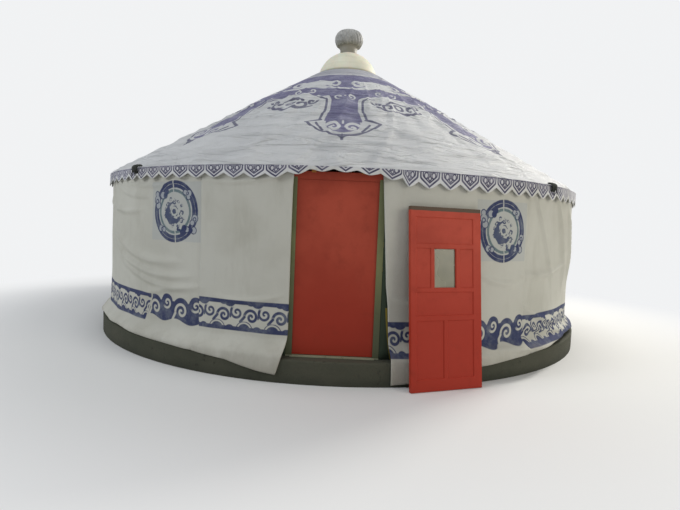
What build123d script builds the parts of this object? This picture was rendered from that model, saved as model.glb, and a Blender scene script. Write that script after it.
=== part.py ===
from build123d import *
import os
from math import asin, cos, degrees, radians, sin, sqrt, tan

# Round tent house (yurt) on a low masonry plinth, in millimetres.
# The origin is the centre of the plinth's underside, +Z is up and the doorway faces -Y.
# Angles round the house are measured from the middle of the doorway, positive towards +X.
# The radius of a faceted piece is measured to the middle of its facets.

os.makedirs("parts", exist_ok=True)

# Clearances
seat_gap = 0.3  # cloth over what carries it
door_gap = 6.0  # round the edges of the leaf
stop_gap = 5.0  # leaf behind the stop
pin_gap = 0.1  # hinge pin in its knuckle
knuckle_gap = 0.5  # between the knuckles of one hinge

# Wall of canvas over felt, on a plinth that stands out all round
wall_radius = 3000.0
wall_height = 1588.0  # from the top of the plinth to the eave
canvas_thickness = 20.0
canvas_lap = 16.0  # over the frame of the doorway, past its inner edge
left_seam_angle = -23.5
right_seam_angle = 36.0
back_canvas_count = 5
plinth_margin = 90.0
plinth_height = 200.0
plinth_arris = 12.0

# Skirt of the wall, which spreads over the edge of the plinth and hangs down
skirt_thickness = 5.0
skirt_rise = 145.0  # from the top of the plinth to the top of the skirt
skirt_shoulder = 15.0
skirt_reach = 12.0
skirt_hang = 90.0
skirt_splay = 5.0
skirt_facet_count = 72

# Lining between canvas and lattice
lining_thickness = 4.0

# Doorway
leaf_width = 698.0
leaf_thickness = 36.0
leaf_edge_round = 3.0
post_width = 38.0
head_depth = 50.0
frame_gap = 4.0  # front of the frame behind the back of the canvas
stop_width = 15.0
stop_thickness = 6.0
sill_thickness = 10.0
sill_nosing = 20.0

# Door hinges
hinge_count = 3
hinge_pin_radius = 4.0
hinge_knuckle_radius = 8.0
hinge_length = 100.0
hinge_plate_width = 38.0
hinge_plate_thickness = 3.0
hinge_end_distance = 190.0
hinge_standoff = 1.0

# Wooden lattice in lengths, with one facet for each pitch of the laths
lattice_count = 6
lath_pitches = 7
lath_width = 32.0
lath_thickness = 12.0
lath_bite = 0.5
lath_lean = 40.0
lattice_post_gap = 5.0

# Roof
eave_overhang = 19.0
roof_slope = 32.35
roof_thickness = 20.0
roof_gore_count = 6
gore_facet_count = 8
pole_width = 34.0
pole_depth = 42.0
door_pole_count = 2
pole_end_gap = 2.0
valance_thickness = 4.5
valance_drop = 2.0  # from the eave down to the top of the valance
valance_depth = 66.0
scallop_depth = 32.0
scallop_shoulder = 9.0
scallop_count = 100

# Crown
crown_ring_radius = 500.0
crown_ring_width = 60.0
crown_ring_height = 60.0
crown_spoke_pairs = 4
crown_spoke_width = 30.0
crown_spoke_depth = 34.0
cover_mouth_radius = 470.0
collar_radius = 484.0
collar_lift = 5.0
dome_radius = 415.0
dome_rise = 332.0
dome_arc_radius = 421.0
dome_thickness = 8.0
dome_neck_radius = 129.0
dome_gore_count = 24

# Finial
neck_height = 85.0
neck_ring_radius = 165.0
neck_ring_height = 20.0
knob_radius = 204.0
knob_height = 235.0
knob_foot_radius = 150.0
knob_crown_radius = 90.0
knob_pleat_count = 24
knob_pleat_depth = 12.0
knob_level_count = 6
knob_twist = 12.0

# Panelled door that leans beside the doorway
spare_width = 665.0
spare_thickness = 38.0
spare_angle = 19.7
spare_shift = -126.0
spare_foot_gap = 64.0
spare_left_stile = 55.0
spare_right_stile = 80.0
spare_bottom_rail = 100.0
spare_low_panel_height = 465.0
spare_lock_rail = 50.0
spare_mid_panel_height = 185.0
spare_window_rail = 40.0
spare_window_height = 320.0
spare_window_width = 200.0
spare_jamb = 40.0
spare_upper_rail = 45.0
spare_top_panel_height = 210.0
spare_top_rail = 90.0
spare_mullion = 40.0
spare_moulding = 6.0
spare_panel_thickness = 24.0
spare_glass_thickness = 4.0


def radial_plane(angle):
    """Upright plane through the centre line of the house, with local x running outwards."""
    outwards = Vector(0, -1, 0).rotate(Axis.Z, angle)
    return Plane(origin=(0, 0, 0), x_dir=outwards, z_dir=outwards.cross(Vector(0, 0, 1)))


def ring_piece(outline, start, span):
    """A round stretch of wall: a closed radial outline turned about the centre."""
    with BuildPart() as piece:
        with BuildSketch(radial_plane(start)):
            with BuildLine():
                Polyline(*outline, close=True)
            make_face()
        revolve(axis=Axis.Z, revolution_arc=span)
    return piece


def cut_facet(facet, facet_span):
    """Trim a facet in the middle of the doorway to its share of the circle, with mitred edges."""
    with BuildPart() as trimmed:
        add(facet.part)
        split(bisect_by=radial_plane(facet_span / 2), keep=Keep.TOP)
        split(bisect_by=radial_plane(-facet_span / 2), keep=Keep.BOTTOM)
    return trimmed


def turned_copies(facet, start, facet_span, count):
    """Set copies of a facet side by side round the centre, the first with its edge at the start."""
    with BuildPart() as piece:
        with Locations(*[Rotation(0, 0, start + (n + 0.5) * facet_span) for n in range(count)]):
            add(facet.part)
    return piece


def faceted_piece(outline, start, span, count):
    """A stretch of wall or roof in flat facets: the same outline, drawn straight across each facet."""
    facet_span = span / count
    widest = max(radius for radius, height in outline)
    with BuildPart() as facet:
        with BuildSketch(radial_plane(0)):
            with BuildLine():
                Polyline(*outline, close=True)
            make_face()
        extrude(amount=2 * widest * tan(radians(facet_span / 2)), both=True)
    return turned_copies(cut_facet(facet, facet_span), start, facet_span, count)


def keep(piece, name):
    """Label a finished piece and write it to its own file."""
    piece.part.label = name
    export_step(piece.part, f"parts/{name}.step")


# Plinth
plinth_radius = wall_radius + plinth_margin
with BuildPart() as plinth:
    Cylinder(plinth_radius, plinth_height, align=(Align.CENTER, Align.CENTER, Align.MIN))
    top_edge = plinth.edges().filter_by(GeomType.CIRCLE).sort_by(Axis.Z)[-1]
    chamfer(top_edge, plinth_arris)
keep(plinth, "plinth")

# Roof lines, as heights above the ground at a distance from the centre
eave_radius = wall_radius + eave_overhang
eave_height = plinth_height + wall_height
roof_fall = tan(radians(roof_slope))
roof_upright = roof_thickness / cos(radians(roof_slope))
pole_upright = pole_depth / cos(radians(roof_slope))


def roof_top(radius):
    return eave_height + (eave_radius - radius) * roof_fall


def roof_underside(radius):
    return roof_top(radius) - roof_upright


def pole_underside(radius):
    return roof_underside(radius) - seat_gap - pole_upright


# Doorway sizes across and through the wall
canvas_inside = wall_radius - canvas_thickness
leaf_half = leaf_width / 2
doorway_half = leaf_half + door_gap
post_outside = doorway_half + post_width
stop_inside = doorway_half - stop_width
frame_face = sqrt(canvas_inside**2 - post_outside**2) - frame_gap
leaf_face = frame_face - stop_thickness - stop_gap
frame_back = leaf_face - leaf_thickness

# Canvas wall
canvas_edge_angle = degrees(asin((doorway_half + canvas_lap) / wall_radius))
canvas_foot = plinth_height + seat_gap
canvas_top = roof_underside(wall_radius) - seat_gap
canvas_outline = [
    (canvas_inside, canvas_foot),
    (canvas_inside, canvas_top),
    (wall_radius, canvas_top),
    (wall_radius, canvas_foot),
]
back_canvas_span = (360 - right_seam_angle + left_seam_angle) / back_canvas_count
keep(ring_piece(canvas_outline, left_seam_angle, -left_seam_angle - canvas_edge_angle), "canvas_left_of_door")
keep(ring_piece(canvas_outline, canvas_edge_angle, right_seam_angle - canvas_edge_angle), "canvas_right_of_door")
for number in range(back_canvas_count):
    start = right_seam_angle + number * back_canvas_span
    keep(ring_piece(canvas_outline, start, back_canvas_span), f"canvas_wall_{number + 1}")

# Skirt all round, from one edge of the doorway to the other
skirt_radius = plinth_radius + skirt_reach
skirt_foot_radius = skirt_radius + skirt_splay
skirt_top = plinth_height + skirt_rise
skirt_bottom = plinth_height - skirt_hang
skirt_outline = [
    (wall_radius + seat_gap, skirt_top),
    (wall_radius + seat_gap + skirt_thickness, skirt_top),
    (skirt_radius, plinth_height + skirt_shoulder),
    (skirt_foot_radius, skirt_bottom),
    (skirt_foot_radius - skirt_thickness, skirt_bottom),
    (skirt_radius - skirt_thickness, plinth_height + skirt_shoulder - skirt_thickness),
    (wall_radius + seat_gap, skirt_top - 2 * skirt_thickness),
]
skirt = faceted_piece(skirt_outline, canvas_edge_angle, 360 - 2 * canvas_edge_angle, skirt_facet_count)
keep(skirt, "wall_skirt")

# Facets shared by lattice and lining, both drawn tight inside the canvas
lattice_edge = degrees(asin((post_outside + lattice_post_gap) / (canvas_inside - canvas_thickness)))
lattice_span = (360 - 2 * lattice_edge) / lattice_count
lath_facet = lattice_span / lath_pitches
lining_outside = canvas_inside * cos(radians(lath_facet / 2)) - seat_gap
lining_inside = lining_outside - lining_thickness
lattice_outside = lining_inside - seat_gap
lattice_top = pole_underside(lattice_outside) - seat_gap
lining_top = lattice_top - lining_thickness

# Lining, a dark cloth between canvas and lattice
lining_outline = [
    (lining_inside, canvas_foot),
    (lining_outside, canvas_foot),
    (lining_outside, lining_top),
    (lining_inside, lining_top),
]
keep(
    faceted_piece(lining_outline, lattice_edge, 360 - 2 * lattice_edge, lattice_count * lath_pitches),
    "wall_lining",
)


# Lattice: two crossed layers of laths, pinned where they cross, with a head at the middle of each facet
def lath_layer(inside, thickness, lean):
    """Laths of one layer across one facet. They run on in the next facet, one pitch further along."""
    pitch = 2 * (inside + thickness) * tan(radians(lath_facet / 2))
    height = lattice_top - plinth_height
    reach = height / cos(radians(lean)) + lath_width
    spill = int(height * tan(radians(abs(lean))) / pitch) + 2
    with BuildPart() as layer:
        with BuildSketch(Plane.XZ.offset(inside)):
            with Locations((0, plinth_height + height / 2)):
                Rectangle(2 * pitch, height)
            with Locations(*[(n * pitch, lattice_top - lath_width) for n in range(-spill, spill + 1)]):
                Rectangle(lath_width, 2 * reach, rotation=lean, mode=Mode.INTERSECT)
        extrude(amount=thickness)
    return layer


with BuildPart() as lattice_facet:
    add(lath_layer(lattice_outside - lath_thickness, lath_thickness, lath_lean).part)
    add(lath_layer(lattice_outside - 2 * lath_thickness, lath_thickness + lath_bite, -lath_lean).part)
lattice_facet_cut = cut_facet(lattice_facet, lath_facet)
lattice_starts = [lattice_edge + number * lattice_span for number in range(lattice_count)]
for number, start in enumerate(lattice_starts):
    keep(turned_copies(lattice_facet_cut, start, lath_facet, lath_pitches), f"lattice_{number + 1}")

# Roof poles: one on each head of the lattice, and those over the doorway
with BuildPart() as pole:
    pole_foot = canvas_inside - pole_end_gap
    pole_tip = crown_ring_radius + seat_gap
    with BuildSketch(radial_plane(0)):
        with BuildLine():
            Polyline(
                (pole_foot, pole_underside(pole_foot)),
                (pole_foot, roof_underside(pole_foot) - seat_gap),
                (pole_tip, roof_underside(pole_tip) - seat_gap),
                (pole_tip, pole_underside(pole_tip)),
                close=True,
            )
        make_face()
    extrude(amount=pole_width / 2, both=True)

door_pole_pitch = (2 * lattice_edge + lath_facet) / (door_pole_count + 1)
door_pole_angles = [(n - (door_pole_count - 1) / 2) * door_pole_pitch for n in range(door_pole_count)]
for number, start in enumerate(lattice_starts):
    angles = [start + (n + 0.5) * lath_facet for n in range(lath_pitches)]
    if number == 0:
        angles += door_pole_angles
    with BuildPart() as pole_set:
        with Locations(*[Rotation(0, 0, angle) for angle in angles]):
            add(pole.part)
    keep(pole_set, f"roof_poles_{number + 1}")

# The head of the doorway carries the poles over it, and the leaf fills what is left
pole_corner = frame_face + pole_width / 2 * sin(radians(door_pole_angles[-1]))
head_top = pole_underside(pole_corner / cos(radians(door_pole_angles[-1]))) - seat_gap
head_bottom = head_top - head_depth
sill_top = plinth_height + sill_thickness
leaf_bottom = sill_top + door_gap
leaf_height = head_bottom - door_gap - leaf_bottom


# Door frame: two posts and a head, each with a stop in front of the leaf
def door_post(side):
    with BuildPart() as post:
        with BuildSketch(Plane.XY.offset(sill_top)):
            with BuildLine():
                Polyline(
                    (side * doorway_half, -frame_back),
                    (side * post_outside, -frame_back),
                    (side * post_outside, -frame_face),
                    (side * stop_inside, -frame_face),
                    (side * stop_inside, -frame_face + stop_thickness),
                    (side * doorway_half, -frame_face + stop_thickness),
                    close=True,
                )
            make_face()
        extrude(amount=head_bottom - sill_top)
    return post


keep(door_post(-1), "door_post_left")
keep(door_post(1), "door_post_right")

with BuildPart() as door_head:
    with BuildSketch(Plane.YZ.offset(-post_outside)):
        with Locations((-(frame_face + frame_back) / 2, head_bottom + head_depth / 2)):
            Rectangle(frame_face - frame_back, head_depth)
    extrude(amount=2 * post_outside)
    with BuildSketch(Plane.YZ.offset(-stop_inside)):
        with Locations((-frame_face + stop_thickness / 2, head_bottom - stop_width / 2)):
            Rectangle(stop_thickness, stop_width)
    extrude(amount=2 * stop_inside)
keep(door_head, "door_head")

with BuildPart() as door_sill:
    with BuildSketch(Plane.XY.offset(plinth_height)):
        with Locations((0, -(frame_face + frame_back) / 2)):
            Rectangle(2 * post_outside, frame_face - frame_back)
        with Locations((0, -frame_face - sill_nosing / 2)):
            Rectangle(2 * doorway_half, sill_nosing)
    extrude(amount=sill_thickness)
keep(door_sill, "door_sill")

# Door leaf
with BuildPart() as door_leaf:
    with BuildSketch(Plane.XY.offset(leaf_bottom)):
        with Locations((0, -(leaf_face + frame_back) / 2)):
            Rectangle(leaf_width, leaf_thickness)
    extrude(amount=leaf_height)
    fillet(door_leaf.edges().filter_by(Axis.Z), leaf_edge_round)
keep(door_leaf, "door_leaf")

# Door hinges: the pin and two knuckles stay on the post, the middle knuckle swings
hinge_x = -(leaf_half + door_gap / 2)
hinge_y = -(frame_back - hinge_knuckle_radius - hinge_standoff)
knuckle_length = hinge_length / 3
hinge_pitch = (leaf_height - 2 * hinge_end_distance) / (hinge_count - 1)
hinge_middles = [leaf_bottom + hinge_end_distance + n * hinge_pitch for n in range(hinge_count)]
plate_middle = -frame_back + hinge_plate_thickness / 2

with BuildPart() as hinge_pins:
    for middle in hinge_middles:
        for base in (middle - hinge_length / 2, middle + knuckle_length / 2 + knuckle_gap):
            with BuildSketch(Plane.XY.offset(base)):
                with Locations((hinge_x, hinge_y)):
                    Circle(hinge_knuckle_radius)
            extrude(amount=knuckle_length - knuckle_gap)
            with BuildSketch(Plane.XY.offset(base)):
                with Locations((hinge_x - hinge_plate_width / 2, plate_middle)):
                    Rectangle(hinge_plate_width, hinge_plate_thickness)
            extrude(amount=knuckle_length - knuckle_gap)
        with BuildSketch(Plane.XY.offset(middle - hinge_length / 2)):
            with Locations((hinge_x, hinge_y)):
                Circle(hinge_pin_radius)
        extrude(amount=hinge_length)
keep(hinge_pins, "hinge_pins")

with BuildPart() as hinge_straps:
    for middle in hinge_middles:
        with BuildSketch(Plane.XY.offset(middle - knuckle_length / 2 + knuckle_gap / 2)):
            with Locations((hinge_x, hinge_y)):
                Circle(hinge_knuckle_radius)
            with Locations((hinge_x + hinge_plate_width / 2, plate_middle)):
                Rectangle(hinge_plate_width, hinge_plate_thickness)
            with Locations((hinge_x, hinge_y)):
                Circle(hinge_pin_radius + pin_gap, mode=Mode.SUBTRACT)
        extrude(amount=knuckle_length - knuckle_gap)
keep(hinge_straps, "hinge_straps")

# Roof cover in gores, drawn flat between the poles
roof_outline = [
    (eave_radius, roof_underside(eave_radius)),
    (eave_radius, roof_top(eave_radius)),
    (cover_mouth_radius, roof_top(cover_mouth_radius)),
    (cover_mouth_radius, roof_underside(cover_mouth_radius)),
]
gore_span = 360 / roof_gore_count
gore_facet = gore_span / gore_facet_count
for number in range(roof_gore_count):
    gore = faceted_piece(roof_outline, (number - 0.5) * gore_span, gore_span, gore_facet_count)
    keep(gore, f"roof_cover_{number + 1}")

# Valance along the eave: a ring of flat scallops, each with its tip in the middle
valance_inside = eave_radius / cos(radians(gore_facet / 2)) + seat_gap
valance_top = eave_height - valance_drop
valance_notch = valance_top - valance_depth
scallop_span = 360 / scallop_count
scallop_half = (valance_inside + valance_thickness) * tan(radians(scallop_span / 2))
with BuildPart() as scallop:
    with BuildSketch(Plane.XZ.offset(valance_inside)):
        with BuildLine():
            Polyline(
                (-scallop_half, valance_top),
                (scallop_half, valance_top),
                (scallop_half, valance_notch),
                (scallop_half / 2, valance_notch - scallop_shoulder),
                (0, valance_notch - scallop_depth),
                (-scallop_half / 2, valance_notch - scallop_shoulder),
                (-scallop_half, valance_notch),
                close=True,
            )
        make_face()
    extrude(amount=valance_thickness)
keep(turned_copies(cut_facet(scallop, scallop_span), 0, scallop_span, scallop_count), "eave_valance")

# Crown ring that the poles meet, and its spokes
crown_ring_inside = crown_ring_radius - crown_ring_width
crown_ring_top = roof_underside(crown_ring_radius) - seat_gap
with BuildPart() as crown_ring:
    with BuildSketch(Plane.XY.offset(crown_ring_top - crown_ring_height)):
        Circle(crown_ring_radius)
        Circle(crown_ring_inside, mode=Mode.SUBTRACT)
    extrude(amount=crown_ring_height)
keep(crown_ring, "crown_ring")

with BuildPart() as crown_spokes:
    with BuildSketch(Plane.XY.offset(crown_ring_top - (crown_ring_height + crown_spoke_depth) / 2)):
        for number in range(crown_spoke_pairs):
            Rectangle(2 * crown_ring_inside, crown_spoke_width, rotation=number * 180 / crown_spoke_pairs)
        Circle(crown_ring_inside - seat_gap, mode=Mode.INTERSECT)
    extrude(amount=crown_spoke_depth)
keep(crown_spokes, "crown_spokes")

# Collar that stands on the crown ring and laps over the mouth of the roof cover
dome_inside = dome_radius - dome_thickness
collar_inside = cover_mouth_radius - seat_gap
dome_base = roof_top(cover_mouth_radius) + collar_lift
collar_outline = [
    (dome_inside, crown_ring_top),
    (collar_inside, crown_ring_top),
    (collar_inside, roof_top(collar_inside) + seat_gap),
    (collar_radius, roof_top(collar_radius) + seat_gap),
    (collar_radius, dome_base),
    (dome_inside, dome_base),
]
keep(faceted_piece(collar_outline, 0, 360, roof_gore_count * gore_facet_count), "crown_collar")

# Dome over the crown, sewn from gores that curve one way only
dome_top = dome_base + dome_rise
dome_gore = 360 / dome_gore_count
with BuildPart() as dome_segment:
    with BuildSketch(radial_plane(0)):
        with BuildLine():
            RadiusArc((dome_radius, dome_base), (dome_neck_radius, dome_top), -dome_arc_radius)
            Polyline(
                (dome_neck_radius, dome_top),
                (0, dome_top),
                (0, dome_top - dome_thickness),
                (dome_neck_radius, dome_top - dome_thickness),
            )
            RadiusArc(
                (dome_neck_radius, dome_top - dome_thickness),
                (dome_inside, dome_base),
                dome_arc_radius - dome_thickness,
            )
            Line((dome_inside, dome_base), (dome_radius, dome_base))
        make_face()
    extrude(amount=dome_radius * tan(radians(dome_gore / 2)), both=True)
keep(turned_copies(cut_facet(dome_segment, dome_gore), 0, dome_gore, dome_gore_count), "crown_dome")

# Finial: a neck with a ring, and a pleated knob
neck_top = dome_top + neck_height
knob_base = neck_top + neck_ring_height
with BuildPart() as finial_neck:
    with BuildSketch(Plane.XY.offset(dome_top)):
        Circle(dome_neck_radius - dome_thickness)
    extrude(amount=neck_height)
    with BuildSketch(Plane.XY.offset(neck_top)):
        Circle(neck_ring_radius)
    extrude(amount=neck_ring_height)
keep(finial_neck, "finial_neck")


def pleated_ring(radius, turn):
    """Closed zigzag round a circle, with a ridge and a valley for each pleat."""
    points = []
    for number in range(2 * knob_pleat_count):
        angle = radians(turn + number * 180 / knob_pleat_count)
        reach = radius - number % 2 * knob_pleat_depth
        points.append((reach * cos(angle), reach * sin(angle)))
    return points


foot_angle = -degrees(asin((1 - (knob_foot_radius / knob_radius) ** 2) ** 0.5))
crown_angle = degrees(asin((1 - (knob_crown_radius / knob_radius) ** 2) ** 0.5))
level_turn = (crown_angle - foot_angle) / (knob_level_count - 1)
half_height = knob_height / (sin(radians(crown_angle)) - sin(radians(foot_angle)))
with BuildPart() as finial_knob:
    for level in range(knob_level_count):
        swing = radians(foot_angle + level * level_turn)
        level_height = knob_base + half_height * (sin(swing) - sin(radians(foot_angle)))
        with BuildSketch(Plane.XY.offset(level_height)):
            with BuildLine():
                Polyline(
                    *pleated_ring(knob_radius * cos(swing), level * knob_twist / (knob_level_count - 1)),
                    close=True,
                )
            make_face()
    loft(ruled=True)
keep(finial_knob, "finial_knob")

# Panelled door, taken off and leant on the canvas, its foot on the ground
spare_low_base = spare_bottom_rail
spare_mid_base = spare_low_base + spare_low_panel_height + spare_lock_rail
spare_window_base = spare_mid_base + spare_mid_panel_height + spare_window_rail
spare_top_base = spare_window_base + spare_window_height + spare_upper_rail
spare_height = spare_top_base + spare_top_panel_height + spare_top_rail
spare_field = spare_width - spare_left_stile - spare_right_stile
spare_middle = (spare_left_stile - spare_right_stile) / 2
spare_low_width = (spare_field - spare_mullion) / 2
spare_side_width = (spare_field - spare_window_width) / 2 - spare_jamb
spare_low_offset = (spare_field - spare_low_width) / 2
spare_side_offset = (spare_field - spare_side_width) / 2

spare_foot = skirt_foot_radius + spare_foot_gap
spare_lean = degrees(asin((spare_foot - wall_radius - seat_gap) / spare_height))
spare_out = Vector(0, -1, 0).rotate(Axis.Z, spare_angle)
spare_across = Vector(1, 0, 0).rotate(Axis.Z, spare_angle)
spare_normal = spare_out * cos(radians(spare_lean)) + Vector(0, 0, 1) * sin(radians(spare_lean))
spare_back = Plane(
    origin=spare_out * spare_foot + spare_across * spare_shift, x_dir=spare_across, z_dir=spare_normal
)

spare_panels_places = [
    (spare_middle - spare_low_offset, spare_low_base, spare_low_width, spare_low_panel_height),
    (spare_middle + spare_low_offset, spare_low_base, spare_low_width, spare_low_panel_height),
    (spare_middle, spare_mid_base, spare_field, spare_mid_panel_height),
    (spare_middle - spare_side_offset, spare_window_base, spare_side_width, spare_window_height),
    (spare_middle + spare_side_offset, spare_window_base, spare_side_width, spare_window_height),
    (spare_middle, spare_top_base, spare_field, spare_top_panel_height),
]
spare_window_place = (spare_middle, spare_window_base, spare_window_width, spare_window_height)

with BuildPart() as spare_frame:
    with BuildSketch(spare_back):
        with Locations((0, spare_height / 2)):
            Rectangle(spare_width, spare_height)
        for across, base, width, height in [*spare_panels_places, spare_window_place]:
            with Locations((across, base + height / 2)):
                Rectangle(width, height, mode=Mode.SUBTRACT)
    extrude(amount=spare_thickness)
    front = spare_frame.faces().sort_by(Axis(spare_back.origin, spare_back.z_dir))[-1]
    for opening in front.inner_wires():
        chamfer(opening.edges(), spare_moulding)
keep(spare_frame, "spare_door_frame")

with BuildPart() as spare_panels:
    with BuildSketch(spare_back.offset((spare_thickness - spare_panel_thickness) / 2)):
        for across, base, width, height in spare_panels_places:
            with Locations((across, base + height / 2)):
                Rectangle(width, height)
    extrude(amount=spare_panel_thickness)
keep(spare_panels, "spare_door_panels")

with BuildPart() as spare_window:
    with BuildSketch(spare_back.offset((spare_thickness - spare_glass_thickness) / 2)):
        with Locations((spare_middle, spare_window_base + spare_window_height / 2)):
            Rectangle(spare_window_width, spare_window_height)
    extrude(amount=spare_glass_thickness)
keep(spare_window, "spare_door_window")
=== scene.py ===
import math

import bmesh
import bpy
from mathutils import Matrix, Vector, noise


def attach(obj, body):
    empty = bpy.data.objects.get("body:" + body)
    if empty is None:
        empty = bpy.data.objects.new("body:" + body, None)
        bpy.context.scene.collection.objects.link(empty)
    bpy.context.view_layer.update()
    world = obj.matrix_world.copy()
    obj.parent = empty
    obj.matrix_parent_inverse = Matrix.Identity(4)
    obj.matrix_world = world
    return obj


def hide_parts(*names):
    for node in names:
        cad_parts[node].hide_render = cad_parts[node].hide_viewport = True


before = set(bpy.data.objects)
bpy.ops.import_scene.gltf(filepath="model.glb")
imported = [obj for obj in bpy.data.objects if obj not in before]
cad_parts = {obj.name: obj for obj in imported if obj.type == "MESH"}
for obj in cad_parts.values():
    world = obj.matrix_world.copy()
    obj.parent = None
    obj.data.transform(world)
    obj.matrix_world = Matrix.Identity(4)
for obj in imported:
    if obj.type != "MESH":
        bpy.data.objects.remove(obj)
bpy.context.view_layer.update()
print("frame loaded")

fullTurn = 2 * math.pi


def newObject(name, data):
    thing = bpy.data.objects.new(name, data)
    bpy.context.scene.collection.objects.link(thing)
    return thing


# Camera 1.3 m above the ground, a little right of the doorway. Its turns are in degrees.

viewpoint = {
    "place": (0.0837, -6.8180, 1.3142), "lens": 24.67, "sensor": 36.0,
    "yaw": 0.727, "pitch": -3.611, "roll": 2.376,
}


def placeCamera():
    yaw, pitch, roll = (math.radians(viewpoint[turn]) for turn in ("yaw", "pitch", "roll"))
    ahead = Vector((-math.sin(yaw) * math.cos(pitch), math.cos(yaw) * math.cos(pitch), math.sin(pitch)))
    level = Vector((math.cos(yaw), math.sin(yaw), 0))
    rise = level.cross(ahead)
    right = level * math.cos(roll) + rise * math.sin(roll)
    up = rise * math.cos(roll) - level * math.sin(roll)
    lens = bpy.data.cameras.new("camera")
    lens.sensor_fit = "HORIZONTAL"
    lens.sensor_width = viewpoint["sensor"]
    lens.lens = viewpoint["lens"]
    camera = newObject("camera", lens)
    turned = Matrix((right, up, -ahead)).transposed().to_4x4()
    camera.matrix_world = Matrix.Translation(viewpoint["place"]) @ turned
    bpy.context.scene.camera = camera


placeCamera()
print("camera placed")


# Shader maths: a Field is one socket, and an expression on Fields adds its nodes

class Field:
    def __init__(self, finish, socket):
        self.finish = finish
        self.socket = socket

    def math(self, operation, *others, clamp=False):
        values = dict(enumerate((self,) + others))
        return self.finish.node("Math", {"operation": operation, "use_clamp": clamp}, values)

    def __add__(self, other):
        return self.math("ADD", other)

    def __sub__(self, other):
        return self.math("SUBTRACT", other)

    def __rsub__(self, other):
        return self.finish.node("Math", {"operation": "SUBTRACT"}, {0: other, 1: self})

    def __mul__(self, other):
        return self.math("MULTIPLY", other)

    def __truediv__(self, other):
        return self.math("DIVIDE", other)

    def __mod__(self, other):
        return self.math("FLOORED_MODULO", other)

    def __abs__(self):
        return self.math("ABSOLUTE")

    def __and__(self, other):
        return self.math("MINIMUM", other)

    def __or__(self, other):
        return self.math("MAXIMUM", other)

    def __neg__(self):
        return self.math("MULTIPLY", -1.0)

    __radd__ = __add__
    __rmul__ = __mul__

    def parts(self):
        split = self.finish.node("SeparateXYZ", {}, {0: self}).socket.node
        return [Field(self.finish, out) for out in split.outputs]


class Nodes:
    def __init__(self, tree):
        self.tree = tree

    def node(self, kind, settings=None, inputs=None, output=0):
        node = self.tree.nodes.new("ShaderNode" + kind)
        for name, value in (settings or {}).items():
            setattr(node, name, value)
        for name, value in (inputs or {}).items():
            if isinstance(value, Field):
                self.tree.links.new(value.socket, node.inputs[name])
            else:
                node.inputs[name].default_value = value
        return Field(self, node.outputs[output]) if node.outputs else None


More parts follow.
